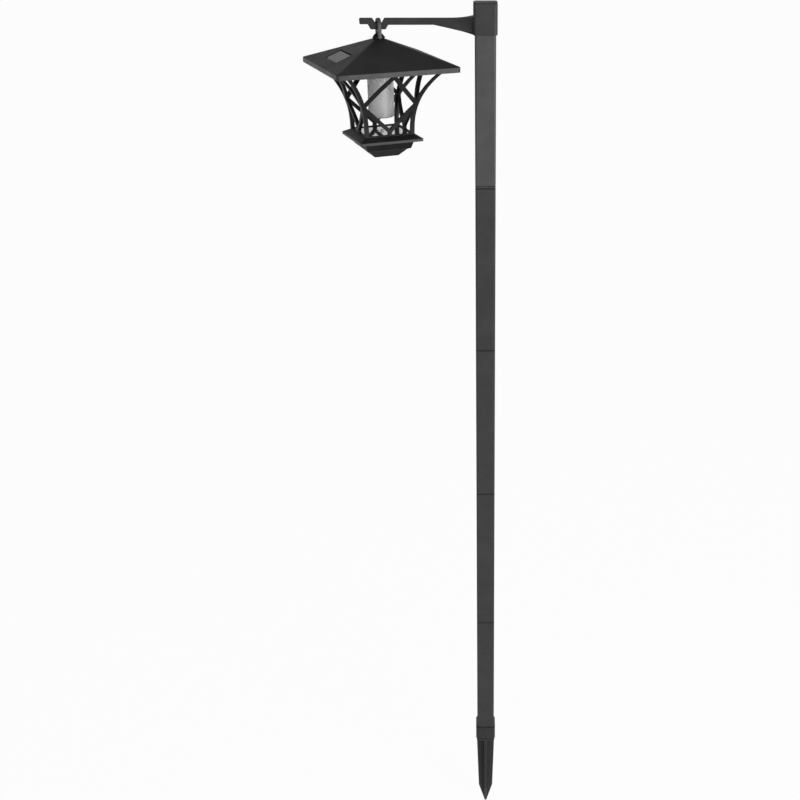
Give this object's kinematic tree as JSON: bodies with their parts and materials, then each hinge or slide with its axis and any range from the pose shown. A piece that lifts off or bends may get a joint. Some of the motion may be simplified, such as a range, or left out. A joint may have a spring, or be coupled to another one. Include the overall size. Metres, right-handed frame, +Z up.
{
  "type": "solar garden light",
  "caption": "Square black lantern with a lattice cage and a solar cell in its pyramid roof, hung by a bail from the arm of a sectional square post with a ground spike.",
  "frame": {"origin": "on the post's axis at the ground line, which is the underside of the spike's collar", "axes": "+Z up along the post, -X along the arm towards the lantern, -Y towards the viewer of the picture"},
  "size_m": [0.29, 0.2364, 1.494],
  "materials": {
    "post_plastic": "satin black, lightly grained",
    "lantern_plastic": "satin black",
    "cage_plastic": "satin black",
    "frosted_plastic": "frosted clear",
    "white_plastic": "smooth white",
    "silver_sheet": "bright silver",
    "panel_glass": "clear resin over grey cells",
    "rubber": "soft black",
    "board_green": "varnished",
    "steel": "plated",
    "cell_sleeve": "shrink sleeve",
    "led_lens": "clear",
    "wire_red": "insulated wire",
    "wire_black": "insulated wire"
  },
  "bodies": {
    "pole": {"ground_spike": "post_plastic", "pole_tube_1": "post_plastic", "pole_tube_2": "post_plastic", "pole_tube_3": "post_plastic", "pole_tube_4": "post_plastic", "pole_tube_5": "post_plastic", "pole_coupler_1": "post_plastic", "pole_coupler_2": "post_plastic", "pole_coupler_3": "post_plastic", "pole_coupler_4": "post_plastic", "arm_bracket": "post_plastic"},
    "bail": {"hanger_bail": "post_plastic"},
    "hub": {"finial_hub": "lantern_plastic", "hub_washer": "steel", "hub_screw": "steel"},
    "lantern": {"roof_shell": "lantern_plastic", "solar_panel": "panel_glass", "panel_gasket": "rubber", "panel_lead_1": "wire_red", "panel_lead_2": "wire_black", "soffit_plate": "lantern_plastic", "roof_screw_1": "steel", "roof_screw_2": "steel", "roof_screw_3": "steel", "roof_screw_4": "steel", "cage": "cage_plastic", "cage_screw_1": "steel", "cage_screw_2": "steel", "cage_screw_3": "steel", "cage_screw_4": "steel", "diffuser": "frosted_plastic", "lamp_stem": "white_plastic", "stem_cap": "white_plastic", "contact_plate": "steel", "battery_cell": "cell_sleeve", "battery_spring": "steel", "led": "led_lens", "control_board": "board_green", "board_screw_1": "steel", "board_screw_2": "steel", "switch_case": "steel", "base_plate": "lantern_plastic", "floor_reflector": "silver_sheet", "stepped_foot": "lantern_plastic", "foot_screw": "steel"},
    "switch": {"switch_knob": "white_plastic"}
  },
  "joints": [
    {"name": "bail_swing", "type": "hinge", "parent": "pole", "child": "bail", "pos_m": [-0.154, 0, 1.3], "axis": [-0.2756, 0.9613, 0], "range_deg": [-6, 15]},
    {"name": "bail_pivot", "type": "hinge", "parent": "bail", "child": "hub", "pos_m": [-0.154, 0, 1.27973], "axis": [-0.2756, 0.9613, 0], "range_deg": [-6, 25]},
    {"name": "lantern_swivel", "type": "hinge", "parent": "hub", "child": "lantern", "pos_m": [-0.154, 0, 1.27], "axis": [0, 0, 1], "continuous": true},
    {"name": "switch_slide", "type": "slide", "parent": "lantern", "child": "switch", "axis": [-0.3827, 0.9239, 0], "range_m": [0, 0.004]}
  ]
}
